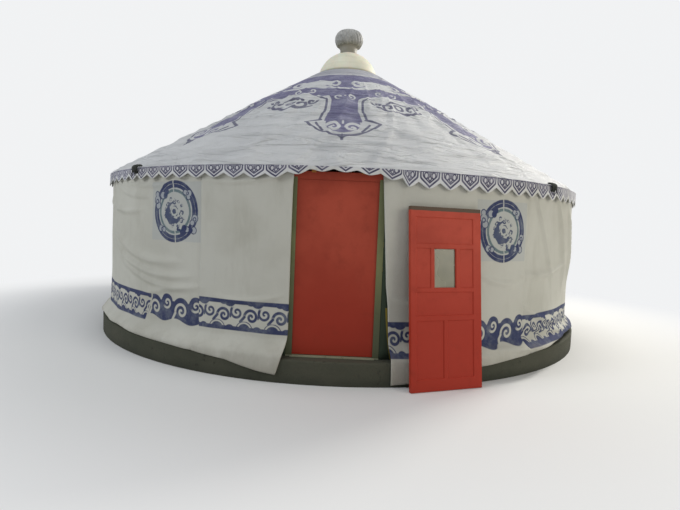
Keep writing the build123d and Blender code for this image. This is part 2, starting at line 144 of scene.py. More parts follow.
class Finish(Nodes):
    def __init__(self, name, **constants):
        self.material = bpy.data.materials.new(name)
        self.material.use_nodes = True
        super().__init__(self.material.node_tree)
        self.shader = self.tree.nodes["Principled BSDF"]
        for socket, value in constants.items():
            self.shader.inputs[socket.replace("_", " ")].default_value = value

    def objectPlace(self):
        return self.node("TexCoord", {}, {}, "Object")

    def flatPlace(self):
        return self.node("UVMap", {"uv_map": "flat"})

    def spot(self, x, y):
        return self.node("CombineXYZ", {}, {0: x, 1: y})

    def stretch(self, place, scale):
        return self.node("Mapping", {}, {0: place, 3: scale})

    def vector(self, operation, *values, **others):
        output = "Vector" if operation in ("SUBTRACT", "SCALE") else "Value"
        inputs = {**dict(enumerate(values)), **others}
        return self.node("VectorMath", {"operation": operation}, inputs, output)

    def noise(self, place, scale, detail=3.0, rough=0.5, twist=0.0):
        values = {"Vector": place, "Scale": scale, "Detail": detail, "Roughness": rough, "Distortion": twist}
        return self.node("TexNoise", {}, values)

    def mix(self, factor, first, second):
        first, second = ((*shade, 1.0) if isinstance(shade, tuple) else shade for shade in (first, second))
        return self.node("Mix", {"data_type": "RGBA"}, {0: factor, 6: first, 7: second}, 2)

    def step(self, value, low, high):
        return self.node("MapRange", {"interpolation_type": "SMOOTHSTEP"}, {0: value, 1: low, 2: high})

    def patches(self, place, scale, detail, rough, low, high):  # 0 where noise is low, 1 where high
        return self.step(self.noise(place, scale, detail, rough), low, high)

    def cover(self, distance, soft):  # 1 inside a shape, 0 outside
        return distance.math("MULTIPLY_ADD", -1.0 / soft, 0.5, clamp=True)

    def disc(self, place, centre, radius):
        return self.vector("DISTANCE", place, (*centre, 0.0)) - radius

    def line(self, distance, width):
        return abs(distance) - width / 2

    def bar(self, place, start, end, width):  # distance to a straight stroke with round ends
        run = Vector((*end, 0.0)) - Vector((*start, 0.0))
        away = self.vector("SUBTRACT", place, (*start, 0.0))
        along = self.vector("DOT_PRODUCT", away, tuple(run / run.length_squared))
        along = along.math("ADD", 0.0, clamp=True)
        near = self.vector("SCALE", tuple(run), Scale=along)
        return self.vector("DISTANCE", away, near) - width / 2

    # distance to a spiral stroke that ends at a turn
    def curl(self, place, centre, size, turns, width, hand, end):
        away = self.vector("SUBTRACT", place, (*centre, 0.0))
        x, y, _ = away.parts()
        turn = y.math("ARCTAN2", x) * (hand / fullTurn)
        run = self.vector("LENGTH", away).math("MULTIPLY_ADD", turns / size, end + 0.5 - turns) - turn
        lap = run.math("FLOOR")
        return (abs(run - lap - 0.5) * (size / turns) - width / 2) | ((lap + turn - end) * size)

    # shapes given as numbers, joined: scrolls as curl's values, strokes as bar's and discs as disc's
    def drawn(self, place, scrolls=(), strokes=(), discs=(), squash=1.0):
        shapes = [self.curl(place, (x, y * squash), *others) for (x, y), *others in scrolls]
        for (x, y), (endX, endY), width in strokes:
            shapes.append(self.bar(place, (x, y * squash), (endX, endY * squash), width))
        shapes += [self.disc(place, (x, y * squash), radius) for (x, y), radius in discs]
        return together(shapes)

    def connect(self, colour, rough=None, height=None, bumpDepth=0.001, bumpStrength=1.0, **others):
        links = {"Base Color": colour, "Roughness": rough, **others}
        if height is not None:
            bump = {"Strength": bumpStrength, "Distance": bumpDepth, "Height": height}
            links["Normal"] = self.node("Bump", {}, bump)
        for name, value in links.items():
            if isinstance(value, Field):
                self.tree.links.new(value.socket, self.shader.inputs[name])
            elif value is not None:
                self.shader.inputs[name].default_value = value
        return self.material


def together(shapes, operation="MINIMUM"):  # one Field out of several: as distances, their union
    total = shapes[0]
    for shape in shapes[1:]:
        total = total.math(operation, shape)
    return total


# Studio: pale floor, pale backdrop for what the camera and gloss see, soft light from above and both sides

studio = {
    "floorSize": 60.0, "floorColour": (0.74, 0.74, 0.73), "fadeFrom": 3.5, "fadeTo": 6.6,
    "backdrop": (0.88, 0.89, 0.90), "ambient": (0.88, 0.91, 0.96), "ambientStrength": 0.37,
    "aim": (0.0, 0.0, 1.4),
    "lamps": (
        # name, place, size, power, colour
        ("skyRightBehind", (9.0, 5.0, 8.0), 2.6, 1200.0, (1.0, 0.965, 0.90)),
        ("skyLeftFront", (-9.0, -6.0, 6.0), 4.5, 360.0, (0.93, 0.96, 1.0)),
        ("skyRightFront", (8.0, -7.0, 4.0), 5.0, 265.0, (1.0, 0.94, 0.82)),
        ("skyAbove", (-1.0, -2.5, 11.0), 4.0, 190.0, (0.96, 0.98, 1.0)),
    ),
}


def lightSky():
    world = bpy.data.worlds.new("studio")
    bpy.context.scene.world = world
    world.use_nodes = True
    sky = Nodes(world.node_tree)
    sky.tree.nodes.clear()
    rays = ("Is Camera Ray", "Is Glossy Ray", "Is Transmission Ray")
    seen = together([sky.node("LightPath", {}, {}, ray) for ray in rays], "MAXIMUM")
    ambient = sky.node("Background", {}, {0: (*studio["ambient"], 1), 1: studio["ambientStrength"]})
    backdrop = sky.node("Background", {}, {0: (*studio["backdrop"], 1)})
    sky.node("OutputWorld", {}, {0: sky.node("MixShader", {}, {0: seen, 1: ambient, 2: backdrop})})


def layFloor():
    shape = bmesh.new()
    bmesh.ops.create_grid(shape, x_segments=1, y_segments=1, size=studio["floorSize"])
    mesh = bpy.data.meshes.new("floor")
    shape.to_mesh(mesh)
    shape.free()
    floor = newObject("floor", mesh)
    paint = Finish("paleFloor", Roughness=0.9, Specular_IOR_Level=0.0)
    paint.connect((*studio["floorColour"], 1))
    away = paint.vector("LENGTH", paint.objectPlace())
    fade = paint.step(away, studio["fadeFrom"], studio["fadeTo"])
    seen = paint.node("LightPath", {}, {}, "Is Camera Ray") * fade
    glow = paint.node("Emission", {}, {0: (*studio["backdrop"], 1), 1: 1.0})
    both = paint.node("MixShader", {}, {0: seen, 1: Field(paint, paint.shader.outputs[0]), 2: glow})
    paint.tree.links.new(both.socket, paint.tree.nodes["Material Output"].inputs[0])
    mesh.materials.append(paint.material)


def hangLamps():
    for name, place, size, power, colour in studio["lamps"]:
        lamp = bpy.data.lights.new(name, "AREA")
        lamp.shape = "DISK"
        lamp.size = size
        lamp.energy = power
        lamp.color = colour
        holder = newObject(name, lamp)
        holder.location = place
        holder.rotation_euler = (Vector(studio["aim"]) - Vector(place)).to_track_quat("-Z", "Y").to_euler()


lightSky()
layFloor()
hangLamps()
bpy.context.scene.view_settings.view_transform = "Standard"
print("studio lit")


# Shared mesh helpers

mergeDistance = 1e-5


def roundHouse(turn, radius, height):  # a turn in radians from the middle of the doorway
    return Vector((radius * math.sin(turn), -radius * math.cos(turn), height))


def smooth(value, low, high):
    part = min(1.0, max(0.0, (value - low) / (high - low)))
    return part * part * (3 - 2 * part)


def between(value, stops):  # value read from a list of (place, value) pairs
    if value <= stops[0][0]:
        return stops[0][1]
    for (low, first), (high, second) in zip(stops, stops[1:]):
        if value <= high:
            return first + (second - first) * (value - low) / (high - low)
    return stops[-1][1]


def addPiece(name, shape, finish, replaces=(), thickness=0.0):  # every piece rides on the body root
    mesh = bpy.data.meshes.new(name)
    for face in shape.faces:
        face.smooth = True
    shape.to_mesh(mesh)
    shape.free()
    mesh.materials.append(finishes[finish])
    piece = newObject(name, mesh)
    if thickness:
        solid = piece.modifiers.new("thickness", "SOLIDIFY")
        solid.thickness = thickness
        solid.offset = -1.0
    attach(piece, "root")
    if replaces:
        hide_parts(*replaces)
    return piece


def clothShape(columns, rows, place, joined=False):  # a flat grid whose points place() moves
    shape = bmesh.new()
    bmesh.ops.create_grid(shape, x_segments=columns, y_segments=rows, size=0.5)
    layer = shape.loops.layers.uv.new("flat")
    flats = {}
    for vert in shape.verts:
        vert.co, flats[vert] = place(vert.co.x + 0.5, vert.co.y + 0.5)
    for face in shape.faces:
        for corner in face.loops:
            corner[layer].uv = flats[corner.vert]
    if joined:
        bmesh.ops.remove_doubles(shape, verts=shape.verts, dist=mergeDistance)
    return shape


def spunRound(shape, geometry, steps):
    bmesh.ops.spin(
        shape, geom=geometry, cent=(0, 0, 0), axis=(0, 0, 1), angle=fullTurn, steps=steps, use_merge=True
    )


def cleaned(shape):
    bmesh.ops.remove_doubles(shape, verts=shape.verts, dist=mergeDistance)
    bmesh.ops.recalc_face_normals(shape, faces=shape.faces)
    return shape


def turnedShape(profile, steps):  # a profile of (radius, height) spun once round
    shape = bmesh.new()
    points = [shape.verts.new((radius, 0, height)) for radius, height in profile]
    edges = [shape.edges.new(pair) for pair in zip(points, points[1:])]
    spunRound(shape, points + edges, steps)
    return cleaned(shape)


# Canvas: what every cloth of the house shares

canvas = {
    "wall": (0.555, 0.550, 0.490), "wallShade": (0.44, 0.432, 0.370),
    "roof": (0.655, 0.665, 0.670), "roofShade": (0.52, 0.53, 0.54),
    "ink": (0.026, 0.036, 0.105), "inkWorn": (0.060, 0.082, 0.150),
    "roofInk": (0.105, 0.100, 0.215), "roofInkWorn": (0.20, 0.20, 0.33), "roofDark": (0.060, 0.064, 0.135),
    "valanceInk": (0.022, 0.020, 0.066), "valanceInkWorn": (0.080, 0.074, 0.150),
    "valanceTint": (0.30, 0.28, 0.40),
    "earth": (0.24, 0.215, 0.17), "nearCrownGrey": (0.33, 0.335, 0.385),
    "weave": 0.0042, "rough": 0.86, "plainRough": 0.88,
}


def weaveHeight(flat):
    x, y, _ = flat.parts()
    warp, weft = ((along * (fullTurn / canvas["weave"])).math("SINE") for along in (x, y))
    return warp * weft


def clothTone(finish, place, light, shade):  # broad patches, faint stains and rain streaks
    patches = finish.patches(place, 1.3, 4.0, 0.6, 0.38, 0.66)
    stains = finish.patches(finish.stretch(place, (5.0, 5.0, 1.1)), 1.0, 6.0, 0.65, 0.50, 0.78)
    return finish.mix(patches * 0.50 + stains * 0.50, light, shade)


# Print on the wall: in each length of cloth a medallion over a run of blue scrolls ends at the right seam,
# and a striped band with outlined scrolls fills the rest. Measured from the right seam and the floor.

medallion = {
    "centre": (-0.330, 1.380), "outer": 0.280, "inner": 0.214, "glint": 0.249, "glintWidth": 0.0015,
    "green": (0.176, 0.201), "greenInk": (0.075, 0.135, 0.155), "tint": (0.20, 0.235, 0.33),
    "square": (0.312, 0.264), "squareTone": (0.36, 0.40, 0.43),
    # turn in degrees, distance from the centre, radius: light clouds that break the rings,
    # then dark lobes inside them
    "clouds": (
        (43, 0.240, 0.027), (53, 0.216, 0.021), (37, 0.212, 0.017), (138, 0.218, 0.030), (157, 0.260, 0.036),
        (167, 0.230, 0.029), (148, 0.290, 0.022), (221, 0.240, 0.025), (231, 0.214, 0.020),
        (-13, 0.250, 0.029), (-24, 0.236, 0.021), (-35, 0.284, 0.026), (-45, 0.224, 0.021),
    ),
    "cloudEdge": (0.005, 0.009), "cloudStart": 0.180,
    "lobes": (
        (131, 0.190, 0.030), (122, 0.212, 0.034), (-39, 0.256, 0.024), (-50, 0.192, 0.031),
        (-61, 0.214, 0.032), (-74, 0.166, 0.014), (-68, 0.178, 0.013),
    ),
    "rings": ((160, 0.258, 0.018), (-15, 0.250, 0.015), (46, 0.228, 0.011), (225, 0.230, 0.011)),
    "ringWidth": 0.010,
    # light gaps across the rings: turns in degrees, start, end and width
    "gaps": (94, -86), "gapStart": 0.175, "gapEnd": 0.290, "gapWidth": 0.011,
    # crescent of cloud scrolls round a small disc in the middle: distance, half width,
    # how the width changes round it
    "disc": 0.024, "halo": 0.048, "haloWidth": 0.008, "crescent": (0.088, 0.013, 0.024),
    "thickSide": (-0.76, -0.65), "crescentInk": (0.038, 0.055, 0.125),
    "scallops": 7, "scallop": 0.005, "ragged": 0.040,
    # turn in degrees, distance, size, hand
    "hooks": (
        (-9, 0.096, 0.028, 1), (-42, 0.122, 0.026, -1), (-70, 0.138, 0.018, 1), (-100, 0.122, 0.018, -1),
        (204, 0.124, 0.020, 1), (172, 0.112, 0.018, -1), (144, 0.104, 0.026, 1), (116, 0.114, 0.022, -1),
        (92, 0.086, 0.022, 1), (62, 0.098, 0.016, -1), (28, 0.108, 0.015, 1),
    ),
}

band = {
    # striped part: period of a large and a small scroll, and its heights
    "period": 0.264, "phase": 0.084, "low": 0.332, "high": 0.600, "stripe": 0.037,
    # its marks, measured up from its lower edge, then two from its upper edge; a seam is half a period away
    "peak": ((0.008, 0.006), 0.060), "peakLine": (0.018, 0.008, 0.085), "seamHump": ((0.0, 0.0), 0.050),
    "scrolls": (
        ((0.074, 0.128), 0.066, 1.55, 0.025, 1, 0.49), ((-0.064, 0.160), 0.060, 1.40, 0.022, -1, -0.38),
    ),
    "strokes": (((0.010, 0.126), (-0.030, 0.082), 0.024), ((-0.112, 0.190), (-0.128, 0.120), 0.020)),
    "notch": ((0.070, 0.005), 0.052), "seamNotch": ((0.0, 0.004), 0.066),
    # blue part: it is this wide, and a slanted gap parts the two
    "bluePeriod": 0.356, "bluePhase": 0.140, "blueWidth": 0.655, "slant": 0.45, "gap": 0.020,
    "humps": (((-0.089, 0.548), 0.076), ((0.092, 0.498), 0.104)), "humpTop": 0.562,
    "foot": (0.148, -0.020, 0.384),
    "lightScrolls": (
        ((-0.086, 0.542), 0.054, 1.25, 0.021, -1, 0.38), ((0.100, 0.478), 0.078, 1.45, 0.025, 1, -0.46),
    ),
    "lightStrokes": (((0.024, 0.458), (-0.036, 0.360), 0.025), ((-0.178, 0.560), (-0.150, 0.600), 0.012)),
}


def turnedSpot(centre, degrees, distance):
    turn = math.radians(degrees)
    return centre[0] + distance * math.cos(turn), centre[1] + distance * math.sin(turn)


def medallionInk(finish, flat):  # the blue print, the green ring, the crescent in the middle and the clouds
    centre = medallion["centre"]
    reach = finish.disc(flat, centre, 0.0)
    clouds, lobes, rings = (
        [finish.disc(flat, turnedSpot(centre, turn, away), size) for turn, away, size in medallion[part]]
        for part in ("clouds", "lobes", "rings")
    )
    clouds = together(clouds)
    start, end, width = medallion["gapStart"], medallion["gapEnd"], medallion["gapWidth"]
    gaps = together([
        finish.bar(flat, turnedSpot(centre, degrees, start), turnedSpot(centre, degrees, end), width)
        for degrees in medallion["gaps"]
    ])
    bare = -(clouds & gaps)
    outer, inner = medallion["outer"], medallion["inner"]
    blue = finish.line(reach - (outer + inner) / 2, outer - inner)
    inset, width = medallion["cloudEdge"]
    blue = blue | -finish.line(reach - medallion["glint"], medallion["glintWidth"]) | bare
    blue = blue & (finish.line(clouds - inset, width) | (medallion["cloudStart"] - reach))
    blue = together([blue] + lobes + [finish.line(ring, medallion["ringWidth"]) for ring in rings])
    low, high = medallion["green"]
    green = finish.line(reach - (low + high) / 2, high - low) | bare
    at, thin, thick = medallion["crescent"]
    x, y, _ = finish.vector("SUBTRACT", flat, (*centre, 0.0)).parts()
    wave = (y.math("ARCTAN2", x) * medallion["scallops"]).math("SINE") * medallion["scallop"]
    thickX, thickY = medallion["thickSide"]
    below = (x * thickX + y * thickY) / (reach + 0.001)
    coil = abs(reach - at + wave) - thin - below * thick
    hooks = finish.drawn(flat, scrolls=[
        (turnedSpot(centre, degrees, distance), size, 1.2, size * 0.50, hand, 0.5 - (degrees % 180) / 200)
        for degrees, distance, size, hand in medallion["hooks"]
    ])
    ragged = (finish.noise(flat, 30.0, 3.0, 0.6) - 0.5) * medallion["ragged"]
    halo = finish.line(reach - medallion["halo"], medallion["haloWidth"])
    coil = (coil & hooks & (reach - medallion["disc"]) & halo) + ragged
    return blue + ragged * 0.22, green + ragged * 0.3, coil, clouds


def bandInk(finish, flat):
    across, up, _ = flat.parts()
    # striped part: dark stripes with humps, dark scrolls on a light ground
    period, low, high = band["period"], band["low"], band["high"]
    local = ((across + band["phase"]) % period) - period / 2
    overLow, overHigh, fromSeam = up - low, up - high, abs(local) - period / 2
    place = finish.spot(local, overLow)
    peak = finish.disc(place, *band["peak"])
    inset, width, rise = band["peakLine"]
    striped = together([
        -overHigh - band["stripe"], overLow - band["stripe"], peak,
        finish.line(peak - inset, width) | (overLow - rise),
        finish.drawn(place, band["scrolls"], band["strokes"]),
        finish.disc(finish.spot(fromSeam, overLow), *band["seamHump"]),
        finish.disc(finish.spot(local, overHigh), *band["notch"]),
        finish.disc(finish.spot(fromSeam, overHigh), *band["seamNotch"]),
    ]) | -overLow | overHigh
    # blue part: light scrolls on a blue ground, humped above and wavy below, with light tails that run out
    period = band["bluePeriod"]
    local = ((across + band["bluePhase"]) % period) - period / 2
    place = finish.spot(local, up)
    ground = finish.drawn(place, discs=band["humps"]) & (up - band["humpTop"])
    shift, swing, middle = band["foot"]
    foot = ((local + shift) * (fullTurn / period)).math("COSINE") * swing + middle
    blue = ground | (foot - up) | -finish.drawn(place, band["lightScrolls"], band["lightStrokes"])
    # the two meet at a slanted gap
    limit = across - (up - 0.5) * band["slant"] + band["blueWidth"]
    return (striped | (limit + band["gap"])) & (blue | -limit)


def makeWallCanvas():
    finish = Finish("wallCanvas", Roughness=canvas["rough"], Specular_IOR_Level=0.25)
    place, flat = finish.objectPlace(), finish.flatPlace()
    blue, green, coil, clouds = medallionInk(finish, flat)
    ink = finish.cover(blue & bandInk(finish, flat), 0.006)
    across, up, _ = flat.parts()
    (middle, level), (half, tall) = medallion["centre"], medallion["square"]
    border = (abs(across - middle) - half) | (abs(up - level) - tall)
    tone = clothTone(finish, place, canvas["wall"], canvas["wallShade"])
    square = finish.cover(border, 0.012) * 0.36 + finish.cover(finish.line(border, 0.006), 0.008) * 0.20
    tone = finish.mix(square, tone, medallion["squareTone"])
    wear = finish.patches(place, 7.0, 5.0, 0.7, 0.42, 0.74)
    inkTone = finish.mix(wear, canvas["ink"], canvas["inkWorn"])
    colour = finish.mix(finish.cover(green, 0.006) * (0.85 - wear * 0.2), tone, medallion["greenInk"])
    colour = finish.mix(finish.cover(coil, 0.006) * (0.93 - wear * 0.15), colour, medallion["crescentInk"])
    colour = finish.mix(finish.cover(clouds, 0.008) * 0.42, colour, medallion["tint"])
    colour = finish.mix(ink * (0.97 - wear * 0.14), colour, inkTone)
    splash = finish.noise(finish.stretch(place, (2.0, 2.0, 1.0)), 3.0, 6.0, 0.7)
    low = finish.step(splash * 0.30 - place.parts()[2], -0.16, 0.10)
    colour = finish.mix(low * 0.55, colour, canvas["earth"])
    creases = finish.noise(finish.stretch(place, (1.0, 1.0, 0.7)), 6.5, 6.0, 0.62, 0.5)
    return finish.connect(colour, canvas["rough"], creases + weaveHeight(flat) * 0.04, 0.016, 0.7)


# Print on the valance: nested pointed outlines with a knot of loops in each tab

valance = {
    "radius": 3.0305, "top": 1.788, "notch": 0.070, "tip": 0.112, "tabs": 100, "firstTip": -2.6,
    "columnsPerTab": 10, "rows": 7, "thickness": 0.0025, "curl": 0.010, "roundTip": 0.06, "edgePower": 1.3,
    # printed outline of a tab, then its lines: inset and width
    "petal": (0.0890, 0.1065), "slant": (0.560, 0.828), "blend": 0.016,
    "lines": ((0.0065, 0.013), (0.0275, 0.010)),
    "loop": (0.033, 0.027, 0.0165, 0.009), "diamond": (0.75, 0.66, 0.046, 0.0115, 0.009),
    "strokes": (((0.0, 0.0), (0.0, 0.030), 0.007), ((0.012, 0.004), (0.006, 0.026), 0.006)),
    # the print is worn between these shares of the way round
    "worn": (0.638, 0.660),
    # right of the doorway the strip is longer and starts about a third of a tab earlier
    "rightFrom": 9.0, "rightTo": 13.0, "rightShift": -1.08, "rightDrop": 0.26,
    # over the doorway its upper part is tucked up: turn and how much is hidden
    "tucked": (
        (-10.5, 0.0), (-6.2, 0.040), (-3.6, 0.066), (1.5, 0.068), (4.6, 0.054), (8.2, 0.024), (11.0, 0.0),
    ),
}


def makeValanceCanvas():
    finish = Finish("valanceCanvas", Roughness=canvas["rough"])
    place, flat = finish.objectPlace(), finish.flatPlace()
    across, up, _ = flat.parts()
    around = fullTurn * valance["radius"]
    tab = around / valance["tabs"]
    local = abs((across % tab) - tab / 2)
    depth = up * -1.0
    (half, tip), (wide, steep) = valance["petal"], valance["slant"]
    petal = (local - half).math("SMOOTH_MAX", local * wide + depth * steep - tip * steep, valance["blend"])
    lines = [finish.line(petal + inset, width) for inset, width in valance["lines"]]
    side, drop, size, width = valance["loop"]
    loop = finish.line(finish.disc(finish.spot(local - side, (depth - drop) * 0.8), (0.0, 0.0), size), width)
    wide, tall, drop, size, width = valance["diamond"]
    diamond = finish.line(local * wide + abs(depth - drop) * tall - size, width)
    spacer = ((tab / 2, 0.0), (tab / 2, 0.010), 0.004)
    strokes = finish.drawn(finish.spot(local, depth), strokes=(*valance["strokes"], spacer))
    edge = (depth - 0.006) | (petal + 0.010)
    ink = finish.cover(together(lines + [loop, diamond, strokes, edge]), 0.004)
    start, end = valance["worn"]
    worn = finish.step(across, around * start, around * end)
    tone = clothTone(finish, place, canvas["roof"], canvas["wallShade"])
    wear = finish.patches(place, 8.0, 5.0, 0.7, 0.40, 0.75)
    colour = finish.mix(finish.cover(petal, 0.004) * 0.20, tone, canvas["valanceTint"])
    inkTone = finish.mix(wear, canvas["valanceInk"], canvas["valanceInkWorn"])
    colour = finish.mix(ink * (0.97 - wear * 0.15 - worn * 0.42), colour, inkTone)
    relief = finish.noise(place, 22.0, 4.0, 0.6) + weaveHeight(flat) * 0.05
    return finish.connect(colour, canvas["rough"], relief, 0.006, 0.5)


# Print on the roof, the same in each of nine panels: violet crown lobes with a scrolled ribbon,
# a shoulder band, a bell that hangs down each panel's middle, and a cloud knot between neighbours.
# Measured on plan.

roofPrint = {
    "panels": 9, "crownStart": 0.745, "lobe": (1.225, 1.30), "ribbon": (1.050, -0.10, 0.30, 0.010),
    "ribbonStart": 0.165, "shoulder": (1.400, 0.45, 0.128), "bellHalf": 0.146, "bellStart": 1.33,
    "bellEnd": 2.160, "bellBlend": 0.14, "flare": (1.84, 2.15, 0.042), "whiteEdge": 0.036,
    "darkEdge": 0.026, "outline": (0.06, 0.335, 2.12),
    # scrolls are taller down the slope than they are wide
    "squash": 0.78,
    # scrolls, strokes and discs by side and reach; the knot's side is from the line between panels
    "ribbonScroll": (((0.138, 1.045), 0.094, 1.25, 0.040, -1, 0.0),),
    "bellDisc": (((0.0, 2.200), 0.170),),
    "bellScroll": (((0.092, 2.290), 0.086, 1.35, 0.036, 1, -0.05),),
    "bellStroke": (((0.0, 2.165), (0.0, 2.200), 0.020),),
    "footArc": (1.95, 2.462, 0.034),
    "footStrokes": (
        ((0.372, 2.200), (0.222, 2.120), 0.026), ((0.372, 2.200), (0.312, 2.285), 0.028),
        ((0.0, 2.455), (0.0, 2.545), 0.028), ((0.0, 2.520), (0.055, 2.470), 0.022),
        ((0.190, 2.360), (0.262, 2.225), 0.026),
    ),
    "headScroll": (((0.068, 1.500), 0.052, 1.25, 0.019, 1, 0.25),), "headDot": ((0.0, 1.470), 0.013),
    "shoulderScroll": (((0.085, 1.360), 0.044, 1.2, 0.018, 1, 0.3),),
    "knotScrolls": (
        ((0.128, 1.765), 0.092, 1.25, 0.036, 1, 0.40), ((0.222, 1.660), 0.055, 1.20, 0.030, -1, 0.10),
    ),
    "knotStrokes": (
        ((0.0, 1.575), (0.110, 1.660), 0.036), ((0.0, 1.900), (0.095, 1.850), 0.036),
        ((0.175, 1.850), (0.262, 1.775), 0.030),
    ),
    "knotRing": (((0.0, 1.725), 0.042),), "knotRingWidth": 0.030,
}


def roofInk(finish, place):  # the broad violet print and the fine dark print
    x, y, _ = place.parts()
    reach = finish.vector("LENGTH", finish.spot(x, y))
    share = fullTurn / roofPrint["panels"]
    local = (x.math("ARCTAN2", -y) + share / 2) % share - share / 2
    side = abs(local) * reach  # from the panel's middle line
    gap = reach * (share / 2) - side  # from the line between two panels
    squash = roofPrint["squash"]
    near, there = (finish.spot(away, reach * squash) for away in (side, gap))
    dip = side * side

    def drawn(spot, scrolls=(), strokes=(), discs=()):
        return finish.drawn(spot, scrolls, strokes, discs, squash)

    # crown lobes
    low, bend = roofPrint["lobe"]
    lobes = (reach + dip * bend - low) | (roofPrint["crownStart"] - reach)
    at, bend, widen, half = roofPrint["ribbon"]
    ribbon = (abs(reach + dip * bend - at) - side * widen - half) | (roofPrint["ribbonStart"] - side)
    lobes = lobes | -(ribbon & drawn(near, roofPrint["ribbonScroll"]))
    # shoulder band and bell
    at, bend, half = roofPrint["shoulder"]
    under = reach + dip * bend - at
    start, end, flare = roofPrint["flare"]
    bell = side - roofPrint["bellHalf"] - finish.step(reach, start, end) * flare
    bell = bell | (reach - roofPrint["bellEnd"]) | (roofPrint["bellStart"] - reach)
    body = (abs(under) - half).math("SMOOTH_MIN", bell, roofPrint["bellBlend"])
    white, dark = roofPrint["whiteEdge"], roofPrint["darkEdge"]
    above, aside, end = roofPrint["outline"]
    outline = finish.line(body - white - dark / 2, dark) | (above - under) | (side - aside) | (reach - end)
    body = body & drawn(near, discs=roofPrint["bellDisc"])
    body = body | -drawn(near, roofPrint["bellScroll"], roofPrint["bellStroke"])
    # foot of the bell
    bend, at, width = roofPrint["footArc"]
    foot = finish.line(reach + dip * bend - at, width) | (side - aside)
    foot = foot & drawn(near, strokes=roofPrint["footStrokes"])
    # two small light scrolls with a dot between them at the head of the bell, and one on the shoulder band
    dot = finish.disc(finish.spot(side, reach), *roofPrint["headDot"])
    light = drawn(near, roofPrint["headScroll"]) & dot
    body = body | -(light & drawn(there, roofPrint["shoulderScroll"]))
    # cloud knot between the panels
    ring = finish.line(drawn(there, discs=roofPrint["knotRing"]), roofPrint["knotRingWidth"])
    knot = ring & drawn(there, roofPrint["knotScrolls"], roofPrint["knotStrokes"])
    return lobes & body, outline & foot & knot


def makeRoofCanvas():
    finish = Finish("roofCanvas", Roughness=canvas["rough"])
    place, flat = finish.objectPlace(), finish.flatPlace()
    broad, fine = (finish.cover(ink, 0.007) for ink in roofInk(finish, place))
    tone = clothTone(finish, place, canvas["roof"], canvas["roofShade"])
    wear = finish.patches(place, 5.0, 6.0, 0.7, 0.40, 0.74)
    inkTone = finish.mix(wear, canvas["roofInk"], canvas["roofInkWorn"])
    colour = finish.mix(broad * (0.97 - wear * 0.12), tone, inkTone)
    colour = finish.mix(fine * (0.95 - wear * 0.12), colour, canvas["roofDark"])
    height = place.parts()[2]
    # the roof goes greyer towards the crown, above about 3.24 m
    nearCrownGrey = finish.step(height + finish.noise(place, 4.0, 4.0, 0.6) * 0.04, 3.240, 3.300)
    colour = finish.mix(nearCrownGrey * 0.85, colour, canvas["nearCrownGrey"])
    creases = finish.noise(finish.stretch(place, (1.0, 1.0, 6.0)), 1.7, 4.0, 0.52, 0.9)
    sharp = (abs(creases - 0.5) * -9.0).math("ADD", 1.0, clamp=True)
    relief = creases + sharp * 0.30 + finish.noise(place, 14.0, 4.0, 0.6) * 0.08 + weaveHeight(flat) * 0.012
    return finish.connect(colour, 0.62, relief, 0.108, 0.85)


def makePlainCanvas(name, light, shade):
    finish = Finish(name, Roughness=canvas["plainRough"])
    place = finish.objectPlace()
    tone = clothTone(finish, place, light, shade)
    relief = finish.noise(place, 30.0, 4.0, 0.6) + finish.noise(place, 260.0, 2.0, 0.5) * 0.25
    return finish.connect(tone, canvas["plainRough"], relief, 0.004, 0.5)


def makeLiningCloth():  # a yellow lath shows through low down at its right edge
    finish = Finish("liningCloth", Roughness=0.9, Specular_IOR_Level=0.2)
    place = finish.objectPlace()
    tone = clothTone(finish, place, (0.040, 0.056, 0.036), (0.024, 0.034, 0.022))
    x, y, height = place.parts()
    down = 0.657 - height
    lath = (abs(x - 0.441 - down * 0.06 - down * down * 0.14) - 0.009) | (height - 0.64) | y
    tone = finish.mix(finish.cover(lath, 0.006), tone, (0.250, 0.190, 0.035))
    return finish.connect(tone, 0.9, finish.noise(place, 30.0, 4.0, 0.6), 0.004, 0.5)


# Paints, wood, metal, masonry, glass

def makePaint(
    name, colour, shade, under, rough, chips, grain=(1.0, 1.0, 0.12), gloss=0.4, edge=None, low=None
):
    finish = Finish(name, Specular_IOR_Level=gloss)
    place = finish.objectPlace()
    fade = finish.patches(place, 2.2, 5.0, 0.6, 0.35, 0.70)
    tone = finish.mix(fade, colour, shade)
    if low:  # painted shade: the colour darkens towards the ground and stays lighter above, for how the light fell, not the paint
        groundShade, start, end = low
        tone = finish.mix(finish.step(place.parts()[2], end, start) * 0.9, tone, groundShade)
    lines = finish.noise(finish.stretch(place, tuple(40.0 * part for part in grain)), 1.0, 4.0, 0.6)
    chip = finish.step(finish.noise(place, 26.0, 8.0, 0.72) * 0.75 + lines * 0.25, chips, chips + 0.04)
    grime = finish.patches(place, 9.0, 6.0, 0.65, 0.50, 0.80)
    tone = finish.mix(grime * 0.35, tone, tuple(0.45 * part for part in colour))
    tone = finish.mix(chip, tone, under)
    if edge:  # bare dark wood above this height
        level = place.parts()[2] + finish.noise(place, 30.0, 3.0, 0.6) * 0.006
        bare = finish.step(level, edge, edge + 0.004)
        tone = finish.mix(bare * 0.9, tone, (0.050, 0.056, 0.036))
    shine = chip * (0.85 - rough) + grime * 0.12 + rough
    return finish.connect(tone, shine, lines * 0.6 - chip * 0.5, 0.0015, 0.6)


